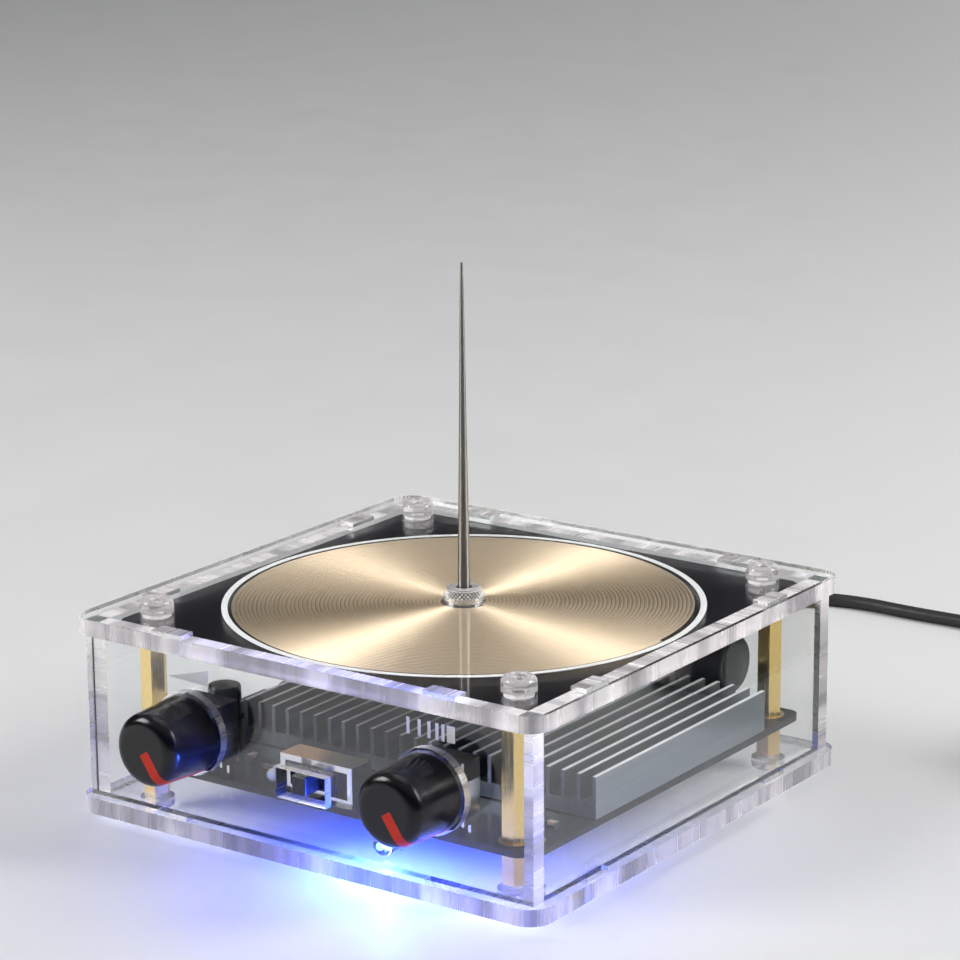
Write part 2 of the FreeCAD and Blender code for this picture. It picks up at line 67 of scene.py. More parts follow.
# ---- camera -------------------------------------------------------------------
camera_at = spot(441.08, -613.81, 279.11)
camera_yaw, camera_pitch, camera_roll = (math.radians(a) for a in (35.405, 14.948, -0.369))
focal_length, sensor_width = 126.4, 36.0  # millimetres
clip_near, clip_far = 0.01, 50.0  # metres


def make_camera():
    """The camera; gives back its right and its ahead, for the lights."""
    level = Vector((math.cos(camera_yaw), math.sin(camera_yaw), 0))
    ahead = Vector((-math.sin(camera_yaw), math.cos(camera_yaw), 0)) * math.cos(camera_pitch)
    ahead.z = -math.sin(camera_pitch)
    above = level.cross(ahead)
    right = level * math.cos(camera_roll) + above * math.sin(camera_roll)
    up = above * math.cos(camera_roll) - level * math.sin(camera_roll)
    turn = Matrix((right, up, -ahead)).transposed().to_4x4()
    data = bpy.data.cameras.new("camera")
    data.lens = focal_length
    data.sensor_width = sensor_width
    data.clip_start = clip_near
    data.clip_end = clip_far
    camera = bpy.data.objects.new("camera", data)
    camera.matrix_world = Matrix.Translation(camera_at) @ turn
    bpy.context.scene.collection.objects.link(camera)
    bpy.context.scene.camera = camera
    return right, ahead


camera_right, camera_ahead = make_camera()


# ---- shader helpers -----------------------------------------------------------
def material(name, color, rough, metallic=0.0, **sockets):
    """A Principled material; sockets are further inputs, with _ for a space."""
    made = bpy.data.materials.new(name)
    made.use_nodes = True
    shader = made.node_tree.nodes["Principled BSDF"]
    shader.inputs["Base Color"].default_value = (*color, 1.0)
    shader.inputs["Roughness"].default_value = rough
    shader.inputs["Metallic"].default_value = metallic
    for socket, value in sockets.items():
        shader.inputs[socket.replace("_", " ")].default_value = value
    made.diffuse_color = (*color, 1.0)
    return made


def shader_of(made):
    return made.node_tree.nodes["Principled BSDF"]


def add(made, kind, **values):
    """A node, with its properties and its inputs' values set by name."""
    node = made.node_tree.nodes.new(kind)
    for key, value in values.items():
        if hasattr(node, key):
            setattr(node, key, value)
        else:
            node.inputs[key.replace("_", " ")].default_value = value
    return node


def link(made, out, to):
    made.node_tree.links.new(out, to)


def noise(made, scale, stretch=(1.0, 1.0, 1.0), detail=3.0):
    """Noise over the frame's own metres; a scale of 1000 has features about 1 mm wide."""
    where = add(made, "ShaderNodeTexCoord")
    mapping = add(made, "ShaderNodeMapping", Scale=stretch)
    grain = add(made, "ShaderNodeTexNoise", Scale=scale, Detail=detail)
    link(made, where.outputs["Object"], mapping.inputs["Vector"])
    link(made, mapping.outputs["Vector"], grain.inputs["Vector"])
    return grain.outputs["Fac"]


def spread(made, value, low, high, start=0.3, end=0.7):
    """A value between start and end, brought to between low and high."""
    node = add(made, "ShaderNodeMapRange", From_Min=start, From_Max=end, To_Min=low, To_Max=high)
    link(made, value, node.inputs["Value"])
    return node.outputs["Result"]


def roughen(made, value, low, high):
    link(made, spread(made, value, low, high), shader_of(made).inputs["Roughness"])


def emboss(made, value, strength, distance):
    bump = add(made, "ShaderNodeBump", Strength=strength, Distance=distance)
    link(made, value, bump.inputs["Height"])
    link(made, bump.outputs["Normal"], shader_of(made).inputs["Normal"])


def tint(made, value, dark, light, start=0.3, end=0.7):
    """Colour that runs from dark to light with a value."""
    mix = made.node_tree.nodes.new("ShaderNodeMix")
    mix.data_type = "RGBA"
    link(made, spread(made, value, 0.0, 1.0, start, end), mix.inputs["Factor"])
    mix.inputs[6].default_value = (*dark, 1.0)
    mix.inputs[7].default_value = (*light, 1.0)
    link(made, mix.outputs[2], shader_of(made).inputs["Base Color"])


def arithmetic(made, operation, *values):
    """A Math node; each value is a socket or a number."""
    node = made.node_tree.nodes.new("ShaderNodeMath")
    node.operation = operation
    for i, value in enumerate(values):
        if isinstance(value, (int, float)):
            node.inputs[i].default_value = value
        else:
            link(made, value, node.inputs[i])
    return node.outputs["Value"]


# ---- materials ----------------------------------------------------------------
acrylic_ior = 1.49
even = (1, 1, 1)  # a grain that runs in no direction


def along(axis, share):
    """Noise stretched along one axis, where its scale is only a share of the others'."""
    return [share if letter == axis else 1.0 for letter in "XYZ"]


def clear_sheet(name, thin_axis):
    """Clear acrylic: polished faces, and laser-cut edges with fine marks across the sheet."""
    face_limit = 0.6  # a normal nearer the sheet's own plane than this is on a cut edge
    made = material(name, (0.97, 0.98, 0.985), 0.0, IOR=acrylic_ior, Transmission_Weight=1.0)
    geometry = add(made, "ShaderNodeNewGeometry")
    parts = add(made, "ShaderNodeSeparateXYZ")
    link(made, geometry.outputs["Normal"], parts.inputs["Vector"])
    facing = arithmetic(made, "ABSOLUTE", parts.outputs["XYZ".index(thin_axis)])
    edge = arithmetic(made, "LESS_THAN", facing, face_limit)
    marks = noise(made, 2600.0, along(thin_axis, 0.03), 2.0)
    rough = arithmetic(made, "MULTIPLY", spread(made, marks, 0.24, 0.42), edge)
    link(made, rough, shader_of(made).inputs["Roughness"])
    emboss(made, arithmetic(made, "MULTIPLY", marks, edge), 0.10, 0.0001)
    return made


def cut_edge(name, across):
    """The skin of a laser-cut edge: pale and frosted, with fine marks across the sheet."""
    dark, light = (0.55, 0.53, 0.55), (0.98, 0.95, 0.95)
    made = material(name, (0.82, 0.79, 0.80), 0.3, IOR=acrylic_ior, Transmission_Weight=0.62)
    stretch = along(across, 0.02)
    roughen(made, noise(made, 500.0, stretch), 0.10, 0.36)
    tint(made, noise(made, 130.0, stretch), dark, light, 0.36, 0.58)
    emboss(made, noise(made, 1500.0, stretch, 2.0), 0.07, 0.00012)
    return made


def brushed(name, color, low, high, stretch=even, scale=3000.0, **sockets):
    """Metal with a fine grain, along one direction if it is stretched."""
    made = material(name, color, low, 1.0, **sockets)
    grain = noise(made, scale, stretch, 4.0)
    roughen(made, grain, low, high)
    emboss(made, grain, 0.12, 0.00004)
    return made


def moulded(name, color, low, high, grain_scale=5000.0, depth=0.00002, **sockets):
    """Moulded plastic or rubber with a fine grain."""
    made = material(name, color, low, 0.0, **sockets)
    grain = noise(made, grain_scale)
    roughen(made, noise(made, 400.0), low, high)
    emboss(made, grain, 0.3, depth)
    return made


sheet_flat = clear_sheet("clear_sheet_flat", "Z")
sheet_long = clear_sheet("clear_sheet_long", "Y")
sheet_side = clear_sheet("clear_sheet_side", "X")
edge_flat = cut_edge("cut_edge_flat", "Z")
edge_long = cut_edge("cut_edge_long", "Y")
edge_side = cut_edge("cut_edge_side", "X")
screw_clear = material(
    "clear_screw", (0.97, 0.945, 0.95), 0.05, IOR=acrylic_ior, Transmission_Weight=0.88
)
emboss(screw_clear, noise(screw_clear, 900.0), 0.10, 0.0002)
roughen(screw_clear, noise(screw_clear, 1400.0), 0.02, 0.08)
brass_bright = brushed("brass_bright", (0.93, 0.68, 0.26), 0.16, 0.30, along("Z", 0.05))
brass_dull = brushed("brass_dull", (0.72, 0.52, 0.25), 0.26, 0.42, along("Z", 0.05))
nickel = brushed("nickel", (0.83, 0.82, 0.80), 0.08, 0.18, scale=6000.0)
shaft_metal = brushed("shaft_metal", (0.76, 0.76, 0.77), 0.20, 0.32, along("Y", 0.05))
plated_steel = brushed("plated_steel", (0.78, 0.78, 0.79), 0.10, 0.26, along("X", 0.2))
sink_metal = brushed("sink_aluminium", (0.39, 0.44, 0.49), 0.28, 0.44, (1, 0.04, 0.6), 1200.0)
sink_streaks = noise(sink_metal, 700.0, (1, 0.02, 0.5))
tint(sink_metal, sink_streaks, (0.26, 0.30, 0.335), (0.335, 0.38, 0.42))
# painted highlight: near-white, not metal, for the light caught by the fins' top edges
fin_painted_highlight = moulded("fin_painted_highlight", (0.93, 0.945, 0.96), 0.30, 0.42)
copper = brushed("winding_copper", (0.86, 0.50, 0.30), 0.22, 0.36)
pad_gold = brushed("pad_gold", (0.90, 0.70, 0.34), 0.22, 0.34)
solder = brushed("solder", (0.74, 0.75, 0.77), 0.14, 0.30, scale=4000.0)
knob_black = moulded(
    "knob_black", (0.005, 0.005, 0.007), 0.15, 0.24, 2500.0, 0.00001, Specular_IOR_Level=0.38
)
pot_black = moulded("pot_black", (0.025, 0.025, 0.028), 0.34, 0.50)
lever_black = moulded("lever_black", (0.018, 0.018, 0.020), 0.22, 0.34)
lead_black = moulded("lead_black", (0.018, 0.018, 0.019), 0.40, 0.55, 4000.0, 0.00003)
pointer_orange = moulded(
    "pointer_orange", (0.56, 0.025, 0.008), 0.34, 0.46, Specular_IOR_Level=0.25
)
sleeve_dark = moulded("sleeve_dark", (0.035, 0.042, 0.043), 0.10, 0.20, Coat_Weight=0.6)
pad_grey = moulded("pad_grey", (0.42, 0.44, 0.47), 0.6, 0.75)
print_white = moulded("print_white", (0.92, 0.92, 0.91), 0.45, 0.60)
lamp_white = material("lamp_white", (0.90, 0.90, 0.86), 0.18, Subsurface_Weight=0.2)
emboss(lamp_white, noise(lamp_white, 1500.0), 0.1, 0.00002)
lamp_glass = material("blue_light", (0.62, 0.74, 1.0), 0.03, IOR=1.5, Transmission_Weight=1.0)
emboss(lamp_glass, noise(lamp_glass, 700.0), 0.05, 0.0001)


def board_mask():
    """Black solder mask with the faint relief of tracks under it."""
    made = material("board_black", (0.005, 0.005, 0.007), 0.2, Specular_IOR_Level=0.42)
    relief = noise(made, 260.0, detail=1.0)
    levels = arithmetic(made, "SNAP", relief, 0.14)
    roughen(made, noise(made, 1800.0), 0.16, 0.26)
    emboss(made, levels, 0.25, 0.00003)
    return made


def ground_round(name, color, rough, anisotropic):
    """Metal ground or brushed in rings round the needle's axis."""
    quarter_turn = 0.25
    made = material(
        name, color, rough, 1.0, Anisotropic=anisotropic, Anisotropic_Rotation=quarter_turn
    )
    tangent = add(made, "ShaderNodeTangent", direction_type="RADIAL", axis="Z")
    link(made, tangent.outputs["Tangent"], shader_of(made).inputs["Tangent"])
    return made


board_black = board_mask()
winding_gold = ground_round("winding_gold", (0.97, 0.81, 0.60), 0.6, 0.87)
roughen(winding_gold, noise(winding_gold, 1500.0), 0.54, 0.66)
tint(winding_gold, noise(winding_gold, 60.0), (0.95, 0.79, 0.585), (0.99, 0.83, 0.615))
needle_steel = ground_round("needle_steel", (0.28, 0.265, 0.25), 0.44, 0.95)
roughen(needle_steel, noise(needle_steel, 6000.0), 0.40, 0.48)
frosted_mark = material(
    "frosted_mark", (0.86, 0.87, 0.88), 0.55, IOR=acrylic_ior, Transmission_Weight=0.35
)
emboss(frosted_mark, noise(frosted_mark, 7000.0), 0.5, 0.00003)
ferrite = moulded("ferrite", (0.05, 0.16, 0.11), 0.30, 0.45, 1500.0, 0.00005)
resistor_tan = moulded("resistor_tan", (0.62, 0.48, 0.33), 0.30, 0.45, 1800.0, 0.00003)
band_brown = moulded("band_brown", (0.20, 0.07, 0.03), 0.30, 0.45, 1800.0, 0.00003)

finishes = {
    sheet_flat: ["bottom_plate", "top_plate"],
    sheet_long: ["front_panel", "rear_panel"],
    sheet_side: ["left_panel", "right_panel"],
    screw_clear: ["top_screws", "bottom_screws", "spacer_washers"],
    brass_bright: ["upper_standoffs"],
    brass_dull: ["lower_standoffs"],
    board_black: ["coil_board", "main_board", "audio_module"],
    copper: ["primary_winding", "coil_link_posts", "transformer_winding"],
    print_white: ["marking_ring"],
    nickel: ["needle_socket", "socket_nut", "board_pins", "adapter_pins"],
    needle_steel: ["discharge_needle"],
    knob_black: ["left_knob", "right_knob"],
    pointer_orange: ["left_pointer", "right_pointer"],
    shaft_metal: ["left_shaft", "right_shaft"],
    pot_black: [
        "left_potentiometer", "right_potentiometer", "switch_base", "driver_chips",
        "power_transistors", "audio_jack", "power_jack", "film_capacitor",
    ],
    plated_steel: [
        "left_pot_bracket", "right_pot_bracket", "switch_shell", "heat_sink_screws",
        "module_shield",
    ],
    lever_black: ["switch_slider"],
    sink_metal: ["heat_sink"],
    pad_grey: ["thermal_pad"],
    sleeve_dark: ["capacitor_can", "capacitor_sleeve", "filter_capacitors"],
    resistor_tan: ["resistors"],
    ferrite: ["transformer_core"],
    lamp_glass: ["blue_lamp"],
    lamp_white: ["status_lamp"],
    lead_black: ["power_plug", "wall_adapter"],
}
for finish, names in finishes.items():
    for name in names:
        nodes[name].data.materials.clear()
        nodes[name].data.materials.append(finish)

for finish in (sheet_flat, sheet_long, sheet_side, screw_clear, lamp_glass):
    for name in finishes[finish]:
        nodes[name].visible_shadow = False  # light goes through what is clear


# ---- mesh helpers -------------------------------------------------------------
def new_object(name, shapes, finish, smooth):
    """A new object of several lots of points and faces, in the frame's metres."""
    points, faces = [], []
    for its_points, its_faces in shapes:
        first = len(points)
        points += [tuple(point) for point in its_points]
        faces += [tuple(first + i for i in face) for face in its_faces]
    mesh = bpy.data.meshes.new(name)
    mesh.from_pydata(points, [], faces)
    mesh.validate()
    mesh.update()
    mesh.materials.append(finish)
    for face in mesh.polygons:
        face.use_smooth = smooth
    made = bpy.data.objects.new(name, mesh)
    bpy.context.scene.collection.objects.link(made)
    return made


def piece(name, shapes, finish, body="case", smooth=False):
    """A piece of the object, riding on a body."""
    made = new_object(name, shapes, finish, smooth)
    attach(made, body)
    return made


def grid_faces(rows, columns, closed_rows=False, closed_columns=False):
    """Quads over a grid of points laid out row by row."""
    faces = []
    for i in range(rows if closed_rows else rows - 1):
        for j in range(columns if closed_columns else columns - 1):
            a, b = i * columns, (i + 1) % rows * columns
            k = (j + 1) % columns
            faces.append((a + j, a + k, b + k, b + j))
    return faces


def block(x0, x1, y0, y1, z0, z1):
    """Points and faces of an upright box, in millimetres from the axis."""
    points = [spot(x, y, z) for z in (z0, z1) for x, y in ((x0, y0), (x1, y0), (x1, y1), (x0, y1))]
    faces = [(3, 2, 1, 0), (4, 5, 6, 7)]
    faces += [(i, (i + 1) % 4, 4 + (i + 1) % 4, 4 + i) for i in range(4)]
    return points, faces


def turned(profile, x, y, z, axis="Z", columns=20, open_ended=False):
    """Points and faces of a profile of (radius, height) turned about an axis through a place."""
    points = []
    for r, h in profile:
        for j in range(columns):
            a = 2 * math.pi * j / columns
            u, v = r * math.cos(a), r * math.sin(a)
            out = {"X": (h, u, v), "Y": (v, h, u), "Z": (u, v, h)}[axis]
            points.append(spot(x + out[0], y + out[1], z + out[2]))
    faces = grid_faces(len(profile), columns, not open_ended, True)
    if open_ended:
        last = (len(profile) - 1) * columns
        faces += [tuple(range(columns))[::-1], tuple(range(last, last + columns))]
    return points, faces


def rounded_outline(half_x, half_y, r, steps=8):
    """Places (x, y) round a rectangle with rounded corners."""
    flat_x, flat_y = half_x - r, half_y - r
    places = []
    for quarter, (sx, sy) in enumerate(((1, 1), (-1, 1), (-1, -1), (1, -1))):
        for i in range(steps + 1):
            a = math.pi / 2 * (quarter + i / steps)
            places.append((sx * flat_x + r * math.cos(a), sy * flat_y + r * math.sin(a)))
    return places


def skirt(half_x, half_y, r, low, high, gap, thick, centre=(0.0, 0.0)):
    """Points and faces of a thin band round a rounded rectangle, gap outside it."""
    points = []
    for off, z in ((gap, low), (gap + thick, low), (gap + thick, high), (gap, high)):
        for x, y in rounded_outline(half_x + off, half_y + off, r + off):
            points.append(spot(centre[0] + x, centre[1] + y, z))
    return points, grid_faces(4, len(points) // 4, True, True)


# ---- secondary winding --------------------------------------------------------
tracks_low, tracks_high = (corner.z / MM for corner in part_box("secondary_spiral"))
turns = 50
track_pitch = 0.98
first_r = 5.4
half_track = 0.452
steps_per_turn = 240
# the section of a track: shares of its half width across and of its height up
crown = [(-1.0, 0.0), (-0.93, 0.80), (0.0, 1.0), (0.93, 0.80), (1.0, 0.0)]


def make_tracks():
    """A smooth spiral of tracks, each a little crowned, in place of the CAD one."""
    high = tracks_high - tracks_low
    points = []
    count = turns * steps_per_turn + 1
    for i in range(count):
        turn = i / steps_per_turn
        a = 2 * math.pi * turn
        r = first_r + track_pitch * turn
        for across, up in crown:
            at = r + half_track * across
            points.append(spot(at * math.cos(a), at * math.sin(a), tracks_low + high * up))
    columns = len(crown)
    faces = [face[::-1] for face in grid_faces(count, columns)]
    faces.append(tuple(range(columns)))
    faces.append(tuple(range((count - 1) * columns, count * columns))[::-1])
    made = piece("spiral_tracks", [(points, faces)], winding_gold, smooth=True)
    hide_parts("secondary_spiral")


make_tracks()


# ---- knurled collar -----------------------------------------------------------
def knurl_metal_painted_shade(valley_r, ridge_r):
    """Nickel, near black with painted shade down in the valleys between the ridges, pale on the
    ridges and the flat faces.
    """
    made = material("knurl_nickel_painted_shade", (0.85, 0.84, 0.82), 0.3, 0.45)
    place = add(made, "ShaderNodeTexCoord")
    from_axis = add(made, "ShaderNodeVectorMath", operation="SUBTRACT")
    from_axis.inputs[1].default_value = (0.0, axis_y, 0.0)
    parts = add(made, "ShaderNodeSeparateXYZ")
    link(made, place.outputs["Object"], from_axis.inputs[0])
    link(made, from_axis.outputs["Vector"], parts.inputs["Vector"])
    sides = [parts.outputs["X"], parts.outputs["Y"]]
    squares = [arithmetic(made, "MULTIPLY", side, side) for side in sides]
    radius = arithmetic(made, "SQRT", arithmetic(made, "ADD", *squares))
    high = spread(made, radius, 0.0, 1.0, valley_r * MM, ridge_r * MM)
    geometry = add(made, "ShaderNodeNewGeometry")
    facing = add(made, "ShaderNodeSeparateXYZ")
    link(made, geometry.outputs["Normal"], facing.inputs["Vector"])
    upright = arithmetic(made, "ABSOLUTE", facing.outputs["Z"])
    flat = arithmetic(made, "GREATER_THAN", upright, 0.7)
    bright = arithmetic(made, "MAXIMUM", high, flat)
    # painted shade: the colour runs from near black in the valleys to the nickel's own pale colour
    # on the ridges and flat faces
    tint(made, bright, (0.03, 0.03, 0.032), (0.97, 0.965, 0.95), 0.0, 1.0)
    link(made, spread(made, bright, 0.50, 0.26, 0.0, 1.0), shader_of(made).inputs["Roughness"])
    return made


def make_collar():
    """The collar with a diamond knurl round its side, in place of the plain one."""
    low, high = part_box("knurled_collar")
    z0, z1 = low.z / MM, high.z / MM
    r = (high.x - low.x) / 2 / MM
    bore, eye, roof = 2.55, 1.85, z1 - 0.8
    knurls, columns_per_knurl, depth = 26, 10, 0.42
    period = 1.05  # height over which the slanting lines shift by one knurl
    rim, step = 0.45, 0.13  # plain height above and below the knurl, height of one row of it
    columns = knurls * columns_per_knurl
    side_low, side_high = z0 + rim, z1 - rim
    plain = r - 0.06
    rows = [(bore, z0), (r - 0.30, z0), (plain, z0 + 0.20), (plain, side_low - 0.02)]
    count = int((side_high - side_low) / step)
    rows += [(None, side_low + (side_high - side_low) * i / count) for i in range(count + 1)]
    rows += [(plain, side_high + 0.02), (r - 0.40, z1 - 0.08), (r - 0.62, z1), (eye + 0.1, z1)]
    rows += [(eye, z1 - 0.1), (eye, roof), (bore, roof)]
    points = []
    for row_r, z in rows:
        for j in range(columns):
            a = 2 * math.pi * j / columns
            if row_r is None:
                lean = 2 * math.pi * (z - side_low) / period
                crossing = math.sin((knurls * a + lean) / 2) * math.sin((knurls * a - lean) / 2)
                at = r - depth + depth * abs(crossing)
            else:
                at = row_r
            points.append(spot(at * math.cos(a), at * math.sin(a), z))
    faces = grid_faces(len(rows), columns, closed_rows=True, closed_columns=True)
    metal = knurl_metal_painted_shade(r - depth, r - 0.1)
    made = piece("collar_knurl", [(points, faces)], metal, body="collar")
    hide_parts("knurled_collar")


make_collar()


# ---- marks on the front panel ---------------------------------------------------
plate_half, plate_corner = 65.0, 5.5
panel_out, panel_in = 62.4, 58.5
marks_low, marks_high = 39.1, 42.9
ramp = [(-38.0, 39.6), (-26.1, marks_low), (-26.1, marks_high)]
thin_bars, wide_bar = (29.7, 32.7, 35.3, 37.4, 39.0), (40.0, 42.2)


def make_marks():
    """A ramp over the left knob and a row of bars over the right one, frosted into the panel."""
    half_bar, proud = 0.42, 0.03
    back, front = -panel_out, -panel_out - proud
    points = [spot(x, y, z) for y in (front, back) for x, z in ramp]
    faces = [(0, 1, 2), (5, 4, 3), (0, 3, 4, 1), (1, 4, 5, 2), (2, 5, 3, 0)]
    piece("ramp_mark", [(points, faces)], frosted_mark)
    spans = [(x - half_bar, x + half_bar) for x in thin_bars] + [wide_bar]
    bars = [block(x0, x1, front, back, marks_low, marks_high) for x0, x1 in spans]
    piece("bar_marks", bars, frosted_mark)


make_marks()


# ---- cut edges of the sheets ------------------------------------------------------
tab_at, tab_half = 38.0, 4.25
skin_gap, skin_thick = 0.01, 0.05
seam = 0.3  # width of the dark strip of painted shade where two panels meet


def make_edges():
    """Frosted skins on the plates' rims, the upright panels' ends and the ends of their tabs, and
    dark strips of painted shade where two panels meet.
    """
    near, far = skin_gap, skin_gap + skin_thick
    inner = tab_at - tab_half
    spans = ((-panel_in, -tab_at - tab_half), (-inner, inner), (tab_at + tab_half, panel_in))
    plate = (plate_half, plate_half, plate_corner)
    levels = ((base_low, base_top), (lid_low, lid_top))
    rims = [skirt(*plate, *level, near, skin_thick) for level in levels]
    piece("plate_edges", rims, edge_flat)
    ends, long_tabs, side_tabs, side_ends, seam_shade_strips = [], [], [], [], []
    for side in (-1, 1):
        y0, y1 = sorted((side * panel_in, side * panel_out))
        for end in (-1, 1):
            x0, x1 = sorted((end * (panel_out + near), end * (panel_out + far)))
            ends.append(block(x0, x1, y0, y1, base_top, lid_low))
            x0, x1 = sorted((end * (panel_in + near), end * (panel_in + far)))
            split = side * (panel_out - seam)
            inner_x, outer_x = sorted((side * panel_in, split)), sorted((split, side * panel_out))
            side_ends.append(block(*inner_x, x0, x1, base_top, lid_low))
            seam_shade_strips.append(block(*outer_x, x0, x1, base_top, lid_low))
            at = end * tab_at
            for z0, z1 in ((base_low - far, base_low - near), (lid_top + near, lid_top + far)):
                long_tabs.append(block(at - tab_half, at + tab_half, y0, y1, z0, z1))
                side_tabs.append(block(y0, y1, at - tab_half, at + tab_half, z0, z1))
        for z0, z1 in ((base_top - far, base_top - near), (lid_low + near, lid_low + far)):
            for a, b in spans:
                long_tabs.append(block(a, b, y0, y1, z0, z1))
                side_tabs.append(block(y0, y1, a, b, z0, z1))
    piece("long_panel_edges", ends + long_tabs, edge_long)
    piece("side_panel_edges", side_tabs + side_ends, edge_side)
    # painted shade: dark strips along the corners where two panels meet, for the dark line seen
    # there
    piece("panel_seam_shades", seam_shade_strips, pot_black)


make_edges()
for name in ("plate_edges", "long_panel_edges", "side_panel_edges"):
    bpy.data.objects[name].visible_shadow = False


# ---- details of the boards --------------------------------------------------------
corner_places = [(x, y) for x in (-50.8, 50.8) for y in (-50.8, 50.8)]
resistor_places = [5.2 + 3.4 * i for i in range(4)]
side_x = -48.0  # the row of parts to the left of the heat sink
capacitor_places = (-40.0, -29.0)  # along Y, in that row
audio_socket = (-10.0, 60.5, 19.5)  # the middle of its mouth


def tube_profile(inner, outer, high):
    """A square section for turned(): from one radius to another, this high."""
    return [(inner, 0.0), (outer, 0.0), (outer, high), (inner, high)]


def make_pads():
    """Gold rings round the main board's mounting holes."""
    thick = 0.04
    ring = tube_profile(1.75, 3.8, thick)
    levels = (board_top, board_low - thick)
    rings = [turned(ring, x, y, z, columns=40) for x, y in corner_places for z in levels]
    piece("pad_rings", rings, pad_gold)


def make_joints():
    """Solder joints under the main board."""
    three_legs = (-2.5, 0.0, 2.5)
    places = [(axis + step, -51.5) for axis in (left_axis, right_axis) for step in three_legs]
    places += [(axis + step, -53.5) for axis in (left_axis, right_axis) for step in (-6.65, 6.65)]
    places += [(at + step, -47.5) for at in (status_x, lamp_x) for step in (-1.3, 1.3)]
    places += [(x, y) for x in resistor_places for y in (42.6, 53.8)]
    places += [(-54.0, 29.5), (-43.0, 29.5), (-54.0, 43.5), (-43.0, 43.5)]  # audio module
    places += [(1.4, 52.0), (18.6, 52.0)]  # links to the coil board
    places += [(26.7, 48.0), (37.7, 48.0)]  # film capacitor
    places += [(side_x, 12.0), (side_x, 24.0)]  # drive transformer
    places += [(-34.0, 46.0), (-36.5, 50.0), (-31.5, 50.0)]  # power jack
    places += [(-14.0, 48.0), (-6.0, 48.0), (-10.0, 54.0)]  # audio jack
    places += [(side_x + step, y) for y in capacitor_places for step in (-1.25, 1.25)]
    transistors = [(x, y) for x in (-26.5, -13.5, 31.5, 44.5) for y in (4.0, -14.0)]
    places += [(x + step, y) for x, y in transistors for step in three_legs]
    places += [(step, -50.0) for step in (-7.0, -2.5, 2.5, 7.0)]  # slide switch
    fillet = [(0.22, -1.1), (0.42, -0.95), (0.55, -0.42), (0.86, -0.12), (1.0, 0.0)]
    joints = [turned(fillet, x, y, board_low, columns=14, open_ended=True) for x, y in places]
    piece("solder_joints", joints, solder, smooth=True)


def make_small_parts():
    """Small surface-mounted parts on the main board, with their tinned ends.

    Each place has the turn of its part as well: 0 along X and 1 along Y.
    """
    half_long, half_wide, high = 0.9, 0.8, 0.75
    end_long, end_proud = 0.5, 0.03
    places = [
        (-22.0, -45.0, 0), (-19.0, -38.5, 0), (-10.5, -43.0, 1), (-6.0, -38.0, 0),
        (-1.5, -42.0, 1), (3.5, -38.0, 0), (8.5, -43.5, 1), (13.0, -38.5, 0),
        (24.5, -42.0, 1), (28.0, -38.0, 0), (42.0, -40.0, 1), (50.0, -40.0, 0),
        (-30.0, -41.0, 1), (-38.0, -40.0, 0), (52.0, -30.0, 1), (-22.0, 47.0, 1),
        (-22.0, 52.0, 1), (48.0, 47.0, 1), (51.5, 44.0, 0), (47.5, 53.0, 0),
        (-54.0, -12.0, 1), (-54.0, -4.0, 1), (-42.5, -8.0, 1), (-54.0, 8.0, 1),
        (-55.0, 20.0, 1),
    ]
    bodies, ends = [], []
    tip = half_long + end_long
    spans = [(-half_long, half_long, bodies, 0.0)]
    spans += [(-tip, -half_long, ends, end_proud), (half_long, tip, ends, end_proud)]
    for x, y, turn in places:
        for start, end, group, proud in spans:
            span, side = (start, end), (-half_wide - proud, half_wide + proud)
            xs, ys = (side, span) if turn else (span, side)
            top = board_top + high + proud
            group.append(block(x + xs[0], x + xs[1], y + ys[0], y + ys[1], board_top, top))
    piece("small_parts", bodies, resistor_tan)
    piece("small_part_ends", ends, solder)


def make_trim():
    """Colour bands of the resistors, tops of the capacitors and the ring in the audio socket."""
    resistor_z, capacitor_top = board_top + 1.3, board_top + 11.0
    bands, gold = [], []
    band = tube_profile(1.15, 1.23, 0.5)
    for x in resistor_places:
        for y, group in ((46.2, bands), (47.4, bands), (48.6, bands), (50.3, gold)):
            group.append(turned(band, x, y, resistor_z, "Y", 28))
    piece("resistor_bands", bands, band_brown)
    piece("resistor_gold", gold, pad_gold)
    disc = [(3.35, 0.0), (3.35, 0.05), (3.1, 0.06), (0.3, 0.06)]
    tops = [
        turned(disc, side_x, y, capacitor_top, columns=40, open_ended=True)
        for y in capacitor_places
    ]
    piece("capacitor_tops", tops, solder)
    rim = turned(tube_profile(1.85, 2.7, 0.12), *audio_socket, "Y", 40)
    piece("socket_ring", [rim], nickel)


def make_fin_highlights():
    """Near-white strips on the fins' tops: a painted highlight, for the light that the fins' top
    edges catch.
    """
    low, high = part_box("heat_sink")
    y0, y1 = (corner.y / MM - axis_y / MM for corner in (low, high))
    top = high.z / MM
    first, pitch, thick, count = low.x / MM, 4.1, 1.0, 24
    inset, near, far = 0.05, 0.01, 0.05
    lefts = [first + pitch * i for i in range(count)]
    z0, z1 = top + near, top + far
    strips = [block(x + inset, x + thick - inset, y0, y1, z0, z1) for x in lefts]
    piece("fin_top_highlights", strips, fin_painted_highlight)


make_pads()
make_joints()
make_fin_highlights()
make_small_parts()
make_trim()


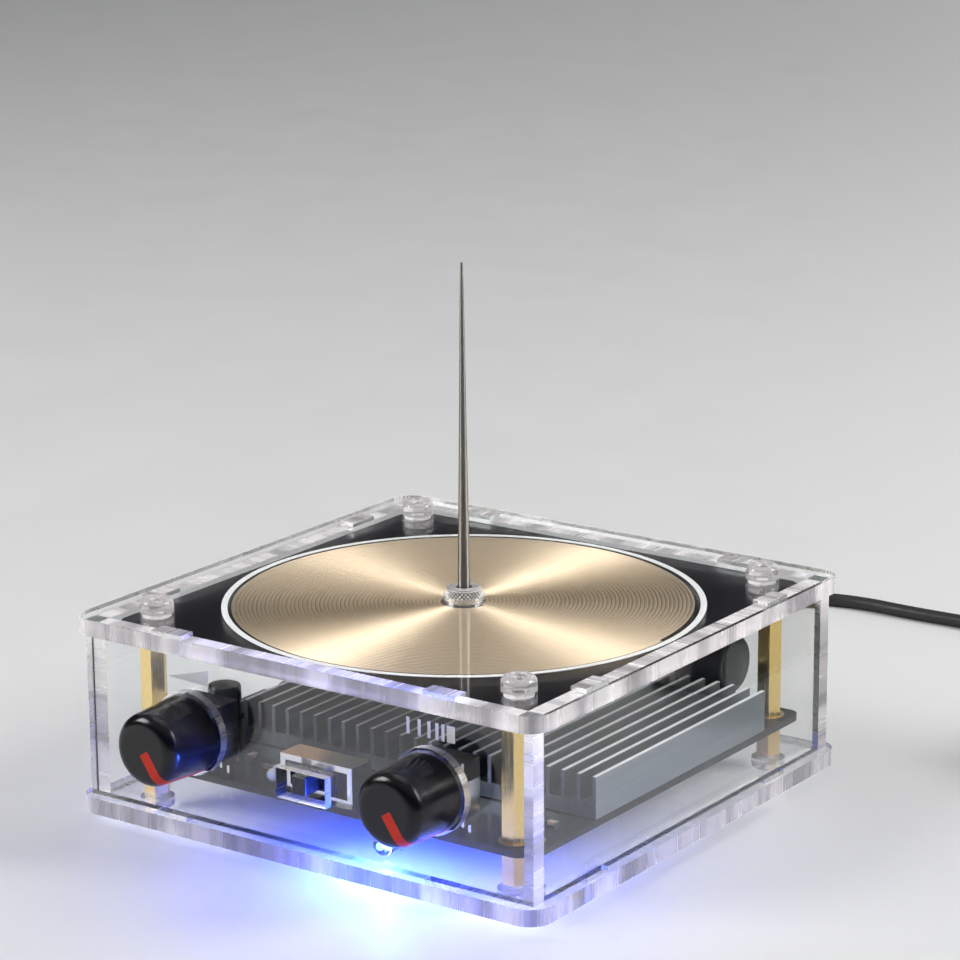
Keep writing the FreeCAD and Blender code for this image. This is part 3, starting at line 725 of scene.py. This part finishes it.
# ---- lit lamp -------------------------------------------------------------------
def make_lamp_core():
    """The bright bead inside the blue lamp, closed with a flat at both ends."""
    glow = material("lamp_glow", (0.05, 0.12, 1.0), 0.4)
    shader_of(glow).inputs["Emission Color"].default_value = (0.10, 0.22, 1.0, 1.0)
    shader_of(glow).inputs["Emission Strength"].default_value = 45.0
    rows, columns = 9, 20
    widest, back, long = 0.95, 2.4, 1.9
    points = []
    for i in range(rows):
        t = i / (rows - 1)
        r = widest * math.sin(math.pi * (0.04 + 0.92 * t))  # stops short of a point at both ends
        y = lamp_tip + back + long * t
        for j in range(columns):
            a = 2 * math.pi * j / columns
            points.append(spot(lamp_x + r * math.cos(a), y, lamp_z + r * math.sin(a)))
    faces = grid_faces(rows, columns, closed_columns=True)
    faces += [tuple(range(columns))[::-1], tuple(range((rows - 1) * columns, rows * columns))]
    piece("lamp_glow", [(points, faces)], glow, smooth=True)


make_lamp_core()


def make_lamp_light():
    """The lamp's own light, which spreads over the boards, the base and the floor."""
    data = bpy.data.lights.new("lamp_light", "POINT")
    data.color = (0.03, 0.09, 1.0)
    data.energy = 0.16
    data.shadow_soft_size = 0.0009
    light = bpy.data.objects.new("lamp_light", data)
    light.location = spot(lamp_x, lamp_tip + 1.2, lamp_z)
    bpy.context.scene.collection.objects.link(light)


make_lamp_light()


# ---- lead -----------------------------------------------------------------------
lead_r = 1.8
lead_route = [
    (-34.0, 92.0, 22.5),
    (-34.0, 104.0, 22.2),
    (-34.3, 119.0, 17.4),
    (-34.2, 134.0, 9.2),
    (-32.6, 149.0, 2.9),
    (-27.0, 164.0, lead_r),
    (-15.5, 177.5, lead_r),
    (2.0, 184.0, lead_r),
    (21.0, 183.2, lead_r),
    (42.0, 184.2, lead_r),
    (61.0, 183.0, lead_r),
    (81.0, 183.6, lead_r),
]
lead_in = (90.5, 186.0, lead_r)  # from the route onto the coil
bundle_centre = (98.0, 163.0)
middle_ring_r = 20.05
turn_gap = 3.65
points_per_turn = 20
bundle_turns = 6.25
# each move: the turn where it starts, its length in turns, the rings and layers that it goes
bundle_moves = [
    (0.61, 0.32, -1, 0),
    (1.61, 0.32, -1, 0),
    (2.50, 0.28, 0, 1),
    (3.39, 0.32, 1, 0),
    (4.39, 0.32, 1, 0),
    (5.28, 0.28, 0, 1),
]
adapter_x = bundle_centre[0] + middle_ring_r + turn_gap
adapter_z = lead_r + 2 * turn_gap  # the lead meets the adapter level with its topmost turn


def ease(t):
    t = min(max(t, 0.0), 1.0)
    return t * t * (3 - 2 * t)


def bundle_point(turn):
    """A place on the coiled lead, which goes inwards on the floor, outwards on that, and up."""
    ring, layer = 1.0, 0.0
    for start, width, rings, layers in bundle_moves:
        done = ease((turn - start) / width)
        ring += rings * done
        layer += layers * done
    r = middle_ring_r + turn_gap * ring
    a = math.pi / 2 - 2 * math.pi * turn
    x, y = bundle_centre[0] + r * math.cos(a), bundle_centre[1] + r * math.sin(a)
    return (x, y, lead_r + turn_gap * layer)


def nurbs_tube(name, points, radius, finish):
    """An open tube along a smooth spline with these points as its control points."""
    curve = bpy.data.curves.new(name, "CURVE")
    curve.dimensions = "3D"
    curve.bevel_depth = radius * MM
    curve.bevel_resolution = 6
    curve.use_fill_caps = True
    curve.resolution_u = 6
    spline = curve.splines.new("NURBS")
    spline.points.add(len(points) - 1)
    for control, place in zip(spline.points, points):
        control.co = (*spot(*place), 1.0)
    spline.order_u = 3
    spline.use_endpoint_u = True
    curve.materials.append(finish)
    made = bpy.data.objects.new(name, curve)
    bpy.context.scene.collection.objects.link(made)
    return made


def make_lead_trim():
    """Ribs of the two strain reliefs, and the seam round the adapter."""
    ribs_each, rib_pitch, root_r = 4, 2.1, 3.4
    section = [(-0.3, 0.0), (0.28, 0.1), (0.36, 0.45), (0.28, 0.8), (-0.3, 0.9)]
    plug_x, _, plug_z = lead_route[0]
    # each relief: its place in X and Z, where it starts in Y, its length
    reliefs = [(plug_x, plug_z, 81.0, 11.0), (adapter_x, adapter_z, 138.0, 12.5)]
    rings = []
    for x, z, start, length in reliefs:
        for i in range(ribs_each):
            y = start + rib_pitch * (i + 1)
            r = root_r - (y - start) / length
            rib = [(r + out, back) for out, back in section]
            rings.append(turned(rib, x, y, z, "Y", 32))
    half_wide, half_long, corner_r, middle_y = 13.0, 23.0, 2.5, 116.0
    seam_low, seam_high, proud = 10.8, 11.2, 0.09
    line = skirt(
        half_wide, half_long, corner_r, seam_low, seam_high, skin_gap, proud, (adapter_x, middle_y)
    )
    return [
        piece("relief_ribs", rings, lead_black, smooth=True),
        piece("adapter_seam", [line], pot_black),
    ]


def make_lead():
    """The whole lead as one smooth cord, in place of its two plain solids."""
    steps = int(bundle_turns * points_per_turn)
    bundle = [bundle_point(i / points_per_turn) for i in range(steps + 1)]
    tail = [(adapter_x, y, adapter_z) for y in (157.6, 152.8, 148.0)]
    lead = nurbs_tube("lead", lead_route + [lead_in] + bundle + tail, lead_r, lead_black)
    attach(lead, "case")
    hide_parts("power_lead", "lead_coil")
    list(make_lead_trim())


make_lead()


# ---- floor, backdrop and light ----------------------------------------------------
def make_stage():
    """A pale floor that turns up into a darker round wall, far out on all sides."""
    pale_grey, dark_grey = (0.80, 0.80, 0.79), (0.07, 0.07, 0.075)
    pale = material("pale_floor", pale_grey, 0.55)
    roughen(pale, noise(pale, 30.0), 0.50, 0.60)
    place = add(pale, "ShaderNodeTexCoord")
    parts = add(pale, "ShaderNodeSeparateXYZ")
    link(pale, place.outputs["Object"], parts.inputs["Vector"])
    tint(pale, parts.outputs["Z"], pale_grey, dark_grey, 0.05, 0.8)
    shape = [(0.6, 0.0), (2.9, 0.0), (3.5, 0.08), (3.9, 0.35), (4.1, 0.9), (4.2, 2.9)]
    columns = 96
    points = []
    for r, z in shape:
        for j in range(columns):
            a = 2 * math.pi * j / columns
            points.append((r * math.cos(a), r * math.sin(a), z))
    faces = [face[::-1] for face in grid_faces(len(shape), columns, closed_columns=True)]
    faces.append(tuple(range(columns)))
    floor = new_object("floor", [(points, faces)], pale, smooth=True)


def softbox(name, azimuth, elevation, distance, size, watts):
    """A square soft light, aimed at the object's middle.

    Degrees and metres; azimuth 0 is over the camera and 90 is to its right.
    """
    aim = spot(0, 0, 40)
    towards = Vector((-camera_ahead.x, -camera_ahead.y, 0)).normalized()
    right = Vector((camera_right.x, camera_right.y, 0)).normalized()
    a, e = math.radians(azimuth), math.radians(elevation)
    way = (towards * math.cos(a) + right * math.sin(a)) * math.cos(e) + Vector((0, 0, math.sin(e)))
    data = bpy.data.lights.new(name, "AREA")
    data.shape = "SQUARE"
    data.size = size
    data.energy = watts
    light = bpy.data.objects.new(name, data)
    light.location = aim + way * distance
    light.rotation_mode = "QUATERNION"
    light.rotation_quaternion = way.to_track_quat("Z", "Y")
    bpy.context.scene.collection.objects.link(light)


def make_world():
    """Soft light that grows from the horizon to the zenith."""
    world = bpy.data.worlds.new("studio")
    world.use_nodes = True
    tree = world.node_tree
    background = tree.nodes["Background"]
    background.inputs["Color"].default_value = (0.95, 0.97, 1.0, 1.0)
    place = tree.nodes.new("ShaderNodeTexCoord")
    parts = tree.nodes.new("ShaderNodeSeparateXYZ")
    ramp = tree.nodes.new("ShaderNodeMapRange")
    ramp.inputs["From Min"].default_value = 0.2
    ramp.inputs["From Max"].default_value = 0.95
    ramp.inputs["To Min"].default_value = 0.05
    ramp.inputs["To Max"].default_value = 0.32
    tree.links.new(place.outputs["Generated"], parts.inputs["Vector"])
    tree.links.new(parts.outputs["Z"], ramp.inputs["Value"])
    tree.links.new(ramp.outputs["Result"], background.inputs["Strength"])
    bpy.context.scene.world = world


make_stage()
softbox("left_softbox", azimuth=-84, elevation=32, distance=1.25, size=0.50, watts=9.5)
softbox("right_softbox", azimuth=84, elevation=32, distance=1.25, size=0.50, watts=9.0)
softbox("rear_softbox", azimuth=150, elevation=22, distance=2.4, size=1.6, watts=9.0)
softbox("top_softbox", azimuth=170, elevation=80, distance=1.5, size=1.0, watts=3.0)
make_world()
bpy.context.scene.view_settings.view_transform = "Standard"
